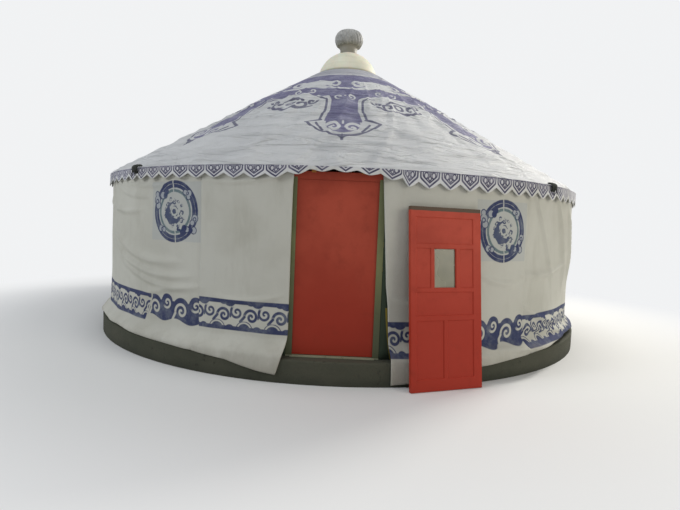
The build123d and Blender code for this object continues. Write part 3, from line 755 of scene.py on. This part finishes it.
def makeMasonry():
    finish = Finish("masonry", Specular_IOR_Level=0.2)
    place = finish.objectPlace()
    broad = finish.patches(place, 1.1, 5.0, 0.6, 0.32, 0.68)
    grit = finish.noise(place, 60.0, 6.0, 0.7)
    pits = finish.patches(place, 24.0, 4.0, 0.6, 0.62, 0.74)
    # the plinth's near-black tones are partly its own dark grey and partly painted shade from under the
    # skirt
    tone = finish.mix(broad, (0.036, 0.042, 0.029), (0.066, 0.067, 0.048))
    tone = finish.mix(grit * 0.45, tone, (0.095, 0.092, 0.070))
    damp = finish.step(place.parts()[2] + finish.noise(place, 5.0, 5.0, 0.7) * 0.10, 0.15, 0.04)
    tone = finish.mix(damp * 0.7, tone, (0.040, 0.043, 0.032))
    tone = finish.mix(pits * 0.6, tone, (0.035, 0.035, 0.028))
    return finish.connect(tone, 0.9, grit - pits * 1.5, 0.008, 0.7)


def makeGlass():
    finish = Finish("dustyGlass", IOR=1.45, Transmission_Weight=0.25)
    place = finish.objectPlace()
    dust = finish.step(finish.noise(place, 5.0, 2.0, 0.4) + place.parts()[0] * -0.9, -0.75, 0.10)
    tone = finish.mix(dust, (0.20, 0.20, 0.14), (0.42, 0.41, 0.30))
    return finish.connect(tone, dust * 0.30 + 0.16)


def makeDomePlastic():
    finish = Finish("domePlastic", Subsurface_Weight=0.20, Subsurface_Scale=0.05, Specular_IOR_Level=0.25)
    place = finish.objectPlace()
    rings = finish.noise(finish.stretch(place, (1.0, 1.0, 38.0)), 1.0, 3.0, 0.5)
    height = place.parts()[2]
    # painted shadow: the dome's foot goes dark olive where it sits in the collar
    base = finish.step(height + rings * 0.02, 3.462, 3.432)
    tone = finish.mix(finish.step(rings, 0.30, 0.74), (0.74, 0.675, 0.545), (0.69, 0.63, 0.505))
    tone = finish.mix(finish.patches(place, 6.0, 6.0, 0.65, 0.5, 0.8) * 0.5, tone, (0.50, 0.46, 0.33))
    tone = finish.mix(base * 0.8, tone, (0.20, 0.19, 0.11))
    return finish.connect(tone, 0.55, rings, 0.002, 0.25)


def makeKnobMetal():
    finish = Finish("knobGrey")
    place = finish.objectPlace()
    spots = finish.patches(place, 20.0, 6.0, 0.7, 0.42, 0.72)
    tone = finish.mix(spots, (0.33, 0.33, 0.315), (0.19, 0.19, 0.178))
    height = place.parts()[2]
    # painted shade: the knob's lower part goes dark olive where shade falls under it
    knobUnderShade = finish.step(height + finish.noise(place, 12.0, 4.0, 0.6) * 0.04, 3.935, 3.845)
    tone = finish.mix(knobUnderShade * 0.6, tone, (0.17, 0.16, 0.085))
    return finish.connect(tone, spots * 0.2 + 0.48, finish.noise(place, 60.0, 4.0, 0.6), 0.002, 0.5)


def makeSteel():
    finish = Finish("hingeSteel", Metallic=0.85)
    place = finish.objectPlace()
    rust = finish.patches(place, 40.0, 6.0, 0.7, 0.50, 0.64)
    tone = finish.mix(rust, (0.36, 0.36, 0.35), (0.16, 0.08, 0.04))
    relief = finish.noise(place, 90.0, 4.0, 0.6)
    return finish.connect(tone, rust * 0.35 + 0.40, relief, 0.0006, 0.5, Metallic=0.85 - rust * 0.75)


paints = {
    # colour, shade, what shows under chips, roughness, how little is chipped, then what differs
    # neck: grey-olive instead of its cream, painted shade under the knob
    "neck": ((0.30, 0.285, 0.235), (0.20, 0.19, 0.150), (0.16, 0.15, 0.10), 0.5, 0.62, {}),
    # leaf, spare door and frame: low is painted shade, the colour darker towards the ground
    "leaf": (
        (0.40, 0.066, 0.036), (0.31, 0.046, 0.024), (0.20, 0.12, 0.08), 0.55, 0.72,
        {"gloss": 0.22, "low": ((0.29, 0.024, 0.010), 0.4, 1.4)},
    ),
    "spareDoor": (
        (0.46, 0.060, 0.032), (0.36, 0.042, 0.021), (0.22, 0.13, 0.09), 0.55, 0.71,
        {"gloss": 0.22, "edge": 1.468, "low": ((0.35, 0.026, 0.011), 0.4, 1.35)},
    ),
    "frame": (
        (0.170, 0.180, 0.075), (0.115, 0.125, 0.055), (0.24, 0.20, 0.12), 0.6, 0.62,
        {"low": ((0.060, 0.068, 0.034), 0.4, 1.15)},
    ),
    "sill": ((0.36, 0.37, 0.25), (0.24, 0.25, 0.17), (0.14, 0.12, 0.08), 0.55, 0.58,
        {"grain": (0.12, 1.0, 1.0)}),
    "lattice": ((0.52, 0.30, 0.035), (0.40, 0.22, 0.03), (0.30, 0.20, 0.10), 0.5, 0.66,
        {"grain": (1.0, 1.0, 1.0)}),
    "pole": ((0.46, 0.20, 0.035), (0.36, 0.15, 0.03), (0.28, 0.18, 0.10), 0.5, 0.67,
        {"grain": (1.0, 1.0, 1.0)}),
    "crown": ((0.40, 0.13, 0.035), (0.30, 0.10, 0.03), (0.26, 0.17, 0.10), 0.5, 0.67,
        {"grain": (1.0, 1.0, 1.0)}),
}
finishes = {
    "wall": makeWallCanvas(), "roof": makeRoofCanvas(), "valance": makeValanceCanvas(),
    "collar": makePlainCanvas("collarCanvas", (0.27, 0.27, 0.245), (0.20, 0.195, 0.165)),
    "lining": makeLiningCloth(),
    "rope": makePlainCanvas("tieRope", (0.030, 0.034, 0.028), (0.018, 0.020, 0.016)),
    "masonry": makeMasonry(), "glass": makeGlass(), "dome": makeDomePlastic(), "knob": makeKnobMetal(),
    "steel": makeSteel(),
}
for name, (*values, others) in paints.items():
    finishes[name] = makePaint(name + "Paint", *values, **others)
print("finishes mixed")


# Wall cloths. Heights and turns follow the lengths of cloth: each is tied at the eave and spreads
# over the plinth.

wallCloth = {
    "radius": 3.0, "top": 1.778, "skirtTop": 0.345, "shoulder": 0.215, "shoulderReach": 0.102,
    "hemReach": 0.006,
    "thickness": 0.005, "lap": 0.30, "tuck": 0.0055, "gatherLength": 0.21, "waveLength": 0.62,
    # how far the relief may stand out, how much less high up, and the heights between which that changes
    "reliefLimit": (0.042, 0.026, 1.40, 1.62),
    # turn in degrees and height of the hem
    "hem": (
        (-180, 0.170), (-120, 0.190), (-75, 0.235), (-57.2, 0.236), (-46.1, 0.226), (-35.3, 0.200),
        (-27.9, 0.192), (-23.75, 0.183), (-16.5, 0.150),
        (-13.15, 0.113), (-10.6, 0.090), (-7.0, 0.070), (7.0, 0.022), (13.0, 0.045), (18.0, 0.100),
        (23.1, 0.140), (31.5, 0.172), (37.5, 0.200),
        (46.1, 0.236), (52.6, 0.262), (62.0, 0.255), (90, 0.200), (130, 0.180), (180, 0.170),
    ),
    # height and turn of the edges beside the doorway
    "leftEdge": ((0.05, -8.70), (0.09, -8.35), (0.254, -7.52), (0.40, -7.20), (1.60, -7.15), (1.78, -7.05)),
    "rightEdge": ((0.02, 9.20), (0.31, 9.08), (0.657, 8.62), (0.824, 8.18), (1.21, 7.70), (1.72, 7.05)),
    "pieces": (
        # name, left and right turn, columns, rows, print shift along, height and print shift up, node
        ("wallClothLeft", -23.5, -7.1, 66, 118, -0.865, ((1.0, -0.043),), "canvas_left_of_door"),
        ("wallClothRight", 7.1, 36.0, 112, 120, 0.0,
            ((0.200, 0.095), (0.284, 0.091), (0.557, 0.070), (1.326, 0.054)), "canvas_right_of_door"),
        ("wallCloth1", 36.0, 96.1, 180, 96, 0.0, ((0.244, 0.088), (0.539, 0.061), (1.300, 0.050)),
            "canvas_wall_1"),
        ("wallCloth2", 96.1, 156.2, 120, 62, 0.0, ((1.0, 0.0),), "canvas_wall_2"),
        ("wallCloth3", 156.2, 216.3, 120, 62, 0.0, ((1.0, 0.0),), "canvas_wall_3"),
        ("wallCloth4", 216.3, 276.4, 120, 62, 0.0, ((1.0, 0.0),), "canvas_wall_4"),
        ("wallCloth5", 276.4, 336.5, 180, 96, 0.0, ((1.0, 0.0),), "canvas_wall_5"),
    ),
    # metres of wall a degree, then a share of each fold's half width and of how far it stands out
    "degreeLength": 0.0524, "foldWidth": 0.85, "foldOut": 2.9,
    # a fold runs from one point to another: turn and height twice, sag in the middle, half width,
    # how far it stands out
    "folds": (
        (-55, 1.25, -30, 0.92, 0.10, 0.045, 0.016), (-52, 1.05, -27, 0.80, 0.09, 0.040, 0.014),
        (-48, 0.90, -26, 0.70, 0.07, 0.035, 0.011),
        (-58, 1.50, -40, 1.38, 0.05, 0.030, 0.010), (-50, 1.62, -37, 1.52, 0.03, 0.024, 0.008),
        (-45, 1.66, -30, 1.64, 0.03, 0.020, 0.006),
        (-40, 0.55, -24, 0.72, -0.02, 0.030, 0.006), (-20, 0.66, -9, 0.70, 0.04, 0.030, 0.007),
        (-22, 1.66, -10, 1.70, 0.03, 0.022, 0.006),
        (38, 1.70, 47, 0.75, -0.02, 0.030, 0.010), (48, 1.72, 54, 0.80, 0.02, 0.035, 0.014),
        (55, 1.70, 60, 0.90, 0.02, 0.035, 0.013),
        (36, 0.92, 56, 1.08, 0.06, 0.040, 0.010), (24, 0.95, 34, 0.85, 0.04, 0.030, 0.007),
        (10, 0.72, 22, 0.66, 0.03, 0.030, 0.005),
        (37, 0.42, 58, 0.30, 0.02, 0.030, 0.012), (36, 0.60, 50, 0.42, 0.03, 0.028, 0.010),
        (24, 0.30, 44, 0.23, 0.02, 0.022, 0.010),
    ),
}


def foldHeight(degrees, height, folds):
    total = 0.0
    for startTurn, startHeight, endTurn, endHeight, sag, half, out in folds:
        part = (degrees - startTurn) / (endTurn - startTurn)
        if -0.2 < part < 1.2:
            steep = abs(endHeight - startHeight) / (abs(endTurn - startTurn) * wallCloth["degreeLength"])
            line = startHeight + (endHeight - startHeight) * part - sag * 4 * part * (1 - part)
            away = (height - line) / math.sqrt(1 + steep * steep) / (wallCloth["foldWidth"] * half)
            bulge = wallCloth["foldOut"] * out * math.exp(-away * away)
            total += bulge * smooth(part, -0.2, 0.25) * smooth(1.2 - part, 0.0, 0.45)
    return total


def wallRelief(turn, height):
    degrees = math.degrees((turn + math.pi) % fullTurn - math.pi)
    radius = wallCloth["radius"]
    around = roundHouse(turn, 1, 0) * radius
    broad = noise.noise(Vector((around.x * 0.75, around.y * 0.75, height * 0.9 + 4.0)))
    middle = noise.noise(Vector((around.x * 2.2 + 7.0, around.y * 2.2, height * 1.5)))
    small = noise.noise(Vector((around.x * 7.0, around.y * 7.0 + 3.0, height * 5.0)))
    gather = math.sin(turn * radius * fullTurn / wallCloth["gatherLength"] + 4.0 * middle)
    gather *= math.exp(-(wallCloth["top"] - height) / 0.10)
    low = smooth(0.75 - height, 0.0, 0.45)
    wave = math.sin(turn * radius * fullTurn / wallCloth["waveLength"] + 3.0 * broad + height * 2.0)
    relief = 0.012 * broad + 0.0085 * middle + 0.0022 * small + 0.0025 * gather
    relief += low * (0.007 * wave + 0.005 * middle)
    relief += foldHeight(degrees, height, wallCloth["folds"])
    most, less, start, end = wallCloth["reliefLimit"]
    return min(relief, most - less * smooth(height, start, end))


def makeWallCloths():  # the two cloths beside the doorway lie over their neighbours
    lap, tuck = wallCloth["lap"], wallCloth["tuck"]
    for name, left, right, columns, rows, printAlong, printUp, node in wallCloth["pieces"]:
        def place(across, up):
            degrees = left + (right - left) * across
            hem = between((degrees + 180) % 360 - 180, wallCloth["hem"])
            height = hem + (wallCloth["top"] - hem) * up
            start, end = left, right
            if name == "wallClothLeft":
                end = between(height, wallCloth["leftEdge"])
            elif name == "wallClothRight":
                start = between(height, wallCloth["rightEdge"])
            else:
                start -= lap
            if name == "wallCloth5":
                end += lap
            turn = math.radians(start + (end - start) * across)
            skirt, shoulder = wallCloth["skirtTop"], wallCloth["shoulder"]
            spread = smooth(skirt - height, 0.0, skirt - shoulder)
            radius = wallCloth["radius"] + wallCloth["shoulderReach"] * spread
            radius += wallCloth["hemReach"] * smooth(shoulder - height, 0.0, 0.13)
            ease = wallRelief(turn, height)
            ease = max(ease, -0.004) if spread > 0.02 else max(ease, -0.012)
            if start < left:
                ease -= tuck * smooth(left + 1.0 - degrees, 0.0, 0.8)
            if end > right:
                ease -= tuck * smooth(degrees - right + 1.0, 0.0, 0.8)
            rise = between(height, printUp) * smooth(140 - degrees, 0.0, 60.0)
            along = math.radians(degrees - right) * wallCloth["radius"] + printAlong
            return roundHouse(turn, radius + ease, height), (along, height + rise)

        shape = clothShape(columns, rows, place)
        cloth = addPiece(name, shape, "wall", (node, "wall_skirt"), wallCloth["thickness"])


makeWallCloths()
print("wall cloths hung")


# Lining between wall cloth and lattice

lining = {
    "radius": 2.9755, "top": 1.775, "foot": 0.202, "edge": 7.64, "thickness": 0.0035,
    "columns": 360, "rows": 24,
}


def makeLining():
    def place(across, up):
        height = lining["foot"] + (lining["top"] - lining["foot"]) * up
        turn = math.radians(lining["edge"] + (360 - 2 * lining["edge"]) * across)
        ease = 0.0012 * noise.noise(Vector((turn * 9.0, height * 4.0, 1.0)))
        return roundHouse(turn, lining["radius"] + ease, height), (turn * lining["radius"], height)

    shape = clothShape(lining["columns"], lining["rows"], place)
    cloth = addPiece("liningCloth", shape, "lining", ("wall_lining",), lining["thickness"])


makeLining()
print("lining hung")


# Roof cloths, valance and ties

roof = {
    "eaveRadius": 3.019, "eaveHeight": 1.788, "fall": 0.6335, "mouthRadius": 0.470, "columns": 250,
    "rows": 120, "thickness": 0.016,
    "poles": 42, "sag": 0.008, "wrinkle": 0.027, "clear": 0.004,
    # metres down the slope for a metre of plan, how relief leans out and up, how the eave's edge bends
    "slopeLength": 1.184, "lean": (0.535, 0.845), "edgeBend": (0.035, 0.004, 0.012),
    # name, start in degrees, the covers that it replaces
    "halves": (("roofClothFront", -90, (6, 1, 2)), ("roofClothBack", 90, (3, 4, 5))),
}


def roofRelief(turn, reach):
    around = roundHouse(turn, 1, 0) * reach
    swag = 0.06 * math.cos(turn * 9 + 0.5)
    long = noise.noise(Vector((turn * 3.2, (reach + swag) * 5.5, 2.0)))
    fine = noise.noise(Vector((turn * 5.0 + 5.0, (reach + swag * 0.5) * 10.0, 8.0)))
    broad = noise.noise(Vector((around.x * 0.9, around.y * 0.9, 6.0)))
    loose = smooth(reach, 0.6, 1.5)
    ridge = (1 - abs(long) * 2.2) ** 2 * 0.5 if abs(long) < 0.45 else 0.0
    # long folds that run down from the crown between the panels
    slope = noise.noise(Vector((turn * 7.0 + reach * 1.1, reach * 0.55, 12.0)))
    crease = max(0.0, 1 - abs(slope) * 5.0) ** 2
    relief = roof["wrinkle"] * loose * (1.0 * ridge + 0.16 * fine + 0.30 * broad + 0.50 * crease)
    pole = math.sin(turn * roof["poles"] / 2) ** 2
    return relief + roof["clear"] - roof["sag"] * pole * smooth(reach, 0.5, 2.2)


def makeRoofCloths():
    (out, up), (edge, edgeOut, edgeDown) = roof["lean"], roof["edgeBend"]
    for name, start, covers in roof["halves"]:
        def place(across, part):
            turn = math.radians(start + 180 * across)
            reach = roof["eaveRadius"] - (roof["eaveRadius"] - roof["mouthRadius"]) * part
            height = roof["eaveHeight"] + (roof["eaveRadius"] - reach) * roof["fall"]
            ease = roofRelief(turn, reach) * smooth(reach, roof["mouthRadius"], roof["mouthRadius"] + 0.08)
            bend = smooth(reach, roof["eaveRadius"] - edge, roof["eaveRadius"])
            spot = roundHouse(
                turn, reach + ease * out + edgeOut * bend, height + ease * up - edgeDown * bend
            )
            return spot, (turn * reach, (roof["eaveRadius"] - reach) * roof["slopeLength"])

        shape = clothShape(roof["columns"], roof["rows"], place)
        nodes = [f"roof_cover_{cover}" for cover in covers]
        cloth = addPiece(name, shape, "roof", nodes, roof["thickness"])


makeRoofCloths()


def makeValance():
    share = fullTurn / valance["tabs"]
    columns = valance["tabs"] * valance["columnsPerTab"]

    def place(across, up):
        degrees = valance["firstTip"] + (across - 0.5 - 0.5 / valance["tabs"]) * 360
        right = smooth(degrees, valance["rightFrom"], valance["rightTo"]) * smooth(150 - degrees, 0.0, 60.0)
        turn = math.radians(degrees + valance["rightShift"] * right)
        tab = across * valance["tabs"]
        side = abs((tab % 1.0) - 0.5) * 2
        index = math.floor(tab) % valance["tabs"]
        tucked = between(degrees, valance["tucked"])
        rise = (max(0.0, side - valance["roundTip"]) / (1 - valance["roundTip"])) ** valance["edgePower"]
        depth = valance["tip"] - (valance["tip"] - valance["notch"]) * rise * (1 - tucked * 6)
        drop = (1 - up) * (depth - tucked)
        lean = noise.noise(Vector((math.cos(turn) * 9, math.sin(turn) * 9, 5.0)))
        bow = noise.noise(Vector((index * 1.7, 3.0, 0.5)))
        away = (drop / valance["tip"]) ** 2
        radius = valance["radius"] + away * valance["curl"] * (0.35 + lean + 0.8 * bow)
        radius += 0.004 * away * (1 - side) * bow
        height = valance["top"] - drop * (1 + valance["rightDrop"] * right)
        return roundHouse(turn, radius, height), (tab * share * valance["radius"], -drop - tucked)

    shape = clothShape(columns, valance["rows"], place, joined=True)
    thickness = valance["thickness"]
    cloth = addPiece("valanceCloth", shape, "valance", ("eave_valance",), thickness)


makeValance()


# Dark ties that hold the roof cloth at the eave

ties = {
    # turn in degrees, radius and height, then for each loop its sideways shift and its tilt
    "places": ((-40.5, 3.020, 1.778), (42.8, 3.020, 1.770)),
    "loops": ((-0.030, 0.3), (0.0, -0.1), (0.031, -0.35)),
    "loop": 0.038, "rope": 0.0090, "ropeSides": 10, "loopSteps": 28, "knot": 0.023,
    "knotPlace": (0.034, 0.004),
    # sideways start, sideways end and length of each strand
    "strands": ((-0.012, -0.034, 0.085), (0.012, 0.040, 0.070)), "strandRadii": (0.0035, 0.006),
    "strandOut": 0.046,
}


def makeTies():
    shape = bmesh.new()
    (knotOut, knotUp), (thin, thick) = ties["knotPlace"], ties["strandRadii"]
    for degrees, radius, height in ties["places"]:
        turn = math.radians(degrees)
        along = Vector((math.cos(turn), math.sin(turn), 0))
        out = roundHouse(turn, 1.0, 0.0)
        for shift, tilt in ties["loops"]:
            ring = bmesh.ops.create_circle(shape, segments=ties["ropeSides"], radius=ties["rope"])["verts"]
            bmesh.ops.rotate(shape, verts=ring, matrix=Matrix.Rotation(math.pi / 2, 3, "X"))
            bmesh.ops.translate(shape, verts=ring, vec=(ties["loop"], 0, 0))
            edges = list({edge for vert in ring for edge in vert.link_edges})
            spunRound(shape, ring + edges, ties["loopSteps"])
            loop = list({vert for vert in shape.verts if vert.co.length < 0.1})
            axis = (along + out * 0.3 * tilt + Vector((0, 0, tilt))).normalized()
            aim = axis.to_track_quat("Z", "Y").to_matrix()
            bmesh.ops.rotate(shape, verts=loop, matrix=aim)
            bmesh.ops.translate(shape, verts=loop, vec=roundHouse(turn, radius, height) + along * shift)
        knot = bmesh.ops.create_icosphere(shape, subdivisions=3, radius=ties["knot"])["verts"]
        for vert in knot:
            vert.co *= 1 + 0.25 * noise.noise(vert.co * 60)
        bmesh.ops.translate(shape, verts=knot, vec=roundHouse(turn, radius + knotOut, height + knotUp))
        for start, end, drop in ties["strands"]:
            strand = bmesh.ops.create_cone(
                shape, cap_ends=True, segments=8, radius1=thin, radius2=thick, depth=drop
            )["verts"]
            for vert in strand:
                sideways = vert.co.x + start + (end - start) * (0.5 - vert.co.z / drop)
                vert.co = along * sideways + out * vert.co.y + Vector((0, 0, vert.co.z))
            spot = roundHouse(turn, radius + ties["strandOut"], height - drop / 2)
            bmesh.ops.translate(shape, verts=strand, vec=spot)
    addPiece("eaveTies", cleaned(shape), "rope")


makeTies()
print("roof cloths stretched")


# Crown: canvas collar, plastic dome, neck and pleated knob

crown = {
    "collar": ((0.409, 3.4085), (0.425, 3.4160), (0.447, 3.4135), (0.468, 3.4040), (0.486, 3.3950),
        (0.492, 3.3880)),
    "collarSteps": 120, "collarThickness": 0.005,
    "domeRim": ((0.4175, 3.4095), (0.4185, 3.4150)), "domeRimHeight": 0.012, "domeBase": (0.415, 3.409),
    "domeTop": (0.129, 3.7398), "domeArc": 0.421, "domeRows": 26, "domeSteps": 128, "domeThickness": 0.006,
    "neck": ((0.131, 3.736), (0.1225, 3.752), (0.1195, 3.775), (0.1190, 3.800), (0.1225, 3.822),
        (0.132, 3.838), (0.148, 3.846), (0.130, 3.850), (0.0, 3.850)),
    "knob": (
        (0.118, 3.853), (0.152, 3.849), (0.167, 3.858), (0.182, 3.880), (0.195, 3.908), (0.2005, 3.938),
        (0.1995, 3.966), (0.192, 3.996),
        (0.177, 4.022), (0.158, 4.044), (0.128, 4.060), (0.096, 4.069), (0.060, 4.073), (0.026, 4.073),
        (0.0, 4.072),
    ),
    "neckSteps": 96, "pleats": 24, "pleatDepth": 0.0125, "knobColumns": 8,
    # the pleats' twist over the knob's height, and where the knob starts
    "twist": 0.42, "knobHeight": 0.22, "knobFoot": 3.85,
}


def arcBetween(start, end, radius, rows):
    first, last = Vector(start), Vector(end)
    middle = (first + last) / 2
    half = (last - first).length / 2
    across = Vector((last.y - first.y, first.x - last.x)).normalized()
    centre = middle - across * math.sqrt(radius * radius - half * half)
    low = math.atan2(first.y - centre.y, first.x - centre.x)
    high = math.atan2(last.y - centre.y, last.x - centre.x)
    turns = [low + (high - low) * row / rows for row in range(rows + 1)]
    return [(centre.x + radius * math.cos(turn), centre.y + radius * math.sin(turn)) for turn in turns]


def refined(profile, parts):  # a smooth curve through a profile's points
    result = []
    end = len(profile) - 1
    for index in range(end):
        near = (min(max(index + step, 0), end) for step in (-1, 0, 1, 2))
        before, first, last, after = (Vector(profile[spot]) for spot in near)
        for part in range(parts):
            t = part / parts
            bend, turn = 2 * before - 5 * first + 4 * last - after, 3 * first - before - 3 * last + after
            point = 0.5 * (2 * first + (last - before) * t + bend * t * t + turn * t ** 3)
            result.append((max(point.x, 0.0), point.y))
    return result + [profile[-1]]


def makeCrown():
    shape = turnedShape(refined(crown["collar"], 3), crown["collarSteps"])
    for vert in shape.verts:
        turn = math.atan2(vert.co.y, vert.co.x)
        vert.co.z += 0.0022 * noise.noise(Vector((math.cos(turn) * 6, math.sin(turn) * 6, vert.co.z * 20)))
    thickness = crown["collarThickness"]
    collar = addPiece("collarCloth", shape, "collar", ("crown_collar",), thickness)

    radius, height = crown["domeBase"]
    base = (radius, height + crown["domeRimHeight"])
    arc = arcBetween(base, crown["domeTop"], crown["domeArc"], crown["domeRows"])
    shape = turnedShape([*crown["domeRim"], *arc], crown["domeSteps"])
    addPiece("domeShell", shape, "dome", ("crown_dome",), crown["domeThickness"])

    shape = turnedShape(refined(crown["neck"], 3), crown["neckSteps"])
    addPiece("finialNeck", shape, "neck", ("finial_neck",))

    shape = turnedShape(refined(crown["knob"], 3), crown["pleats"] * crown["knobColumns"])
    for vert in shape.verts:
        reach = math.hypot(vert.co.x, vert.co.y)
        if reach > 0.001:
            turn = math.atan2(vert.co.y, vert.co.x)
            turn += crown["twist"] * (vert.co.z - crown["knobFoot"]) / crown["knobHeight"]
            wobble = 0.25 * noise.noise(Vector((math.cos(turn) * 5, math.sin(turn) * 5, vert.co.z * 8)))
            pleat = abs(math.sin((turn + wobble * 0.2) * crown["pleats"] / 2))
            depth = crown["pleatDepth"] * smooth(reach, 0.05, 0.17) * (1 + wobble)
            ruffle = 0.004 * math.sin(turn * crown["pleats"] / 2) * smooth(3.885 - vert.co.z, 0.0, 0.035)
            scale = (reach - depth * (1 - pleat)) / reach
            vert.co.x *= scale
            vert.co.y *= scale
            vert.co.z += ruffle
    addPiece("finialKnobPleated", shape, "knob", ("finial_knob",))


makeCrown()
print("crown made")


# Better finishes on the carried-over nodes

nodeFinishes = {
    "plinth": "masonry", "door_sill": "sill", "door_post_left": "frame", "door_post_right": "frame",
    "door_head": "leaf", "door_leaf": "leaf",
    "hinge_pins": "steel", "hinge_straps": "steel", "crown_ring": "crown", "crown_spokes": "crown",
    "spare_door_frame": "spareDoor",
    "spare_door_panels": "spareDoor", "spare_door_window": "glass",
}
for index in range(1, 7):
    nodeFinishes[f"lattice_{index}"] = "lattice"
    nodeFinishes[f"roof_poles_{index}"] = "pole"
for name, finish in nodeFinishes.items():
    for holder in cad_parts[name].material_slots:
        holder.material = finishes[finish]
print("frame nodes painted")
